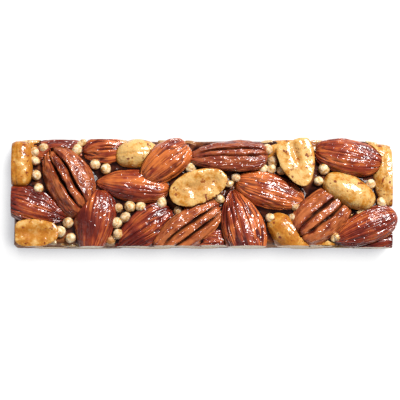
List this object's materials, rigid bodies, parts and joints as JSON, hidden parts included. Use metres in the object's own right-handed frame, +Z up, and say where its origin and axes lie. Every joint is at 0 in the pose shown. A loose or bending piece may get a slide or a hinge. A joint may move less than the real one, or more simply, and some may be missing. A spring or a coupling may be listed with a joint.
{
  "type": "nut bar",
  "caption": "Flat bar of whole almonds, blanched peanuts and pecan halves set in dark hard syrup with puffed grains, cut flat at its sides and ends.",
  "frame": {"origin": "centre of the flat underside", "axes": "+X along the bar's length, to the right in the picture; +Y across it, away from the viewer; +Z up, out of the nutty face"},
  "size_m": [0.12, 0.0341, 0.016],
  "materials": {
    "syrup": "dark brown hard syrup, glossy and uneven, with pale puffed grains stuck on",
    "almond": "brown almond skin with lengthwise ridges under a thin glaze",
    "peanut": "blanched golden peanut under a thin glaze, with small brown specks",
    "split_peanut": "inner face of a split blanched peanut under a thin glaze",
    "pecan": "brown pecan half with deep dark furrows under a thin glaze"
  },
  "bodies": {
    "root": {"almond_01": "almond", "almond_02": "almond", "almond_03": "almond", "almond_04": "almond", "almond_05": "almond", "almond_06": "almond", "almond_07": "almond", "almond_08": "almond", "almond_09": "almond", "almond_10": "almond", "almond_11": "almond", "almond_12": "almond", "almond_13": "almond", "base_almond_07": "almond", "base_almond_17": "almond", "base_peanut_01": "peanut", "base_peanut_03": "peanut", "base_peanut_04": "peanut", "base_peanut_05": "peanut", "base_peanut_06": "peanut", "base_peanut_08": "peanut", "base_peanut_09": "peanut", "base_peanut_11": "peanut", "base_peanut_12": "peanut", "base_peanut_15": "peanut", "base_peanut_16": "peanut", "base_peanut_19": "peanut", "base_peanut_20": "peanut", "base_pecan_02": "pecan", "base_pecan_10": "pecan", "base_pecan_13": "pecan", "base_pecan_14": "pecan", "base_pecan_18": "pecan", "peanut_01": "peanut", "peanut_02": "split_peanut", "peanut_03": "peanut", "peanut_04": "split_peanut", "peanut_05": "split_peanut", "peanut_06": "peanut", "peanut_07": "peanut", "peanut_08": "peanut", "peanut_09": "peanut", "peanut_10": "peanut", "peanut_11": "peanut", "peanut_12": "peanut", "peanut_13": "peanut", "pecan_01": "pecan", "pecan_02": "pecan", "pecan_03": "pecan", "pecan_04": "pecan", "syrup": "syrup"}
  },
  "joints": []
}
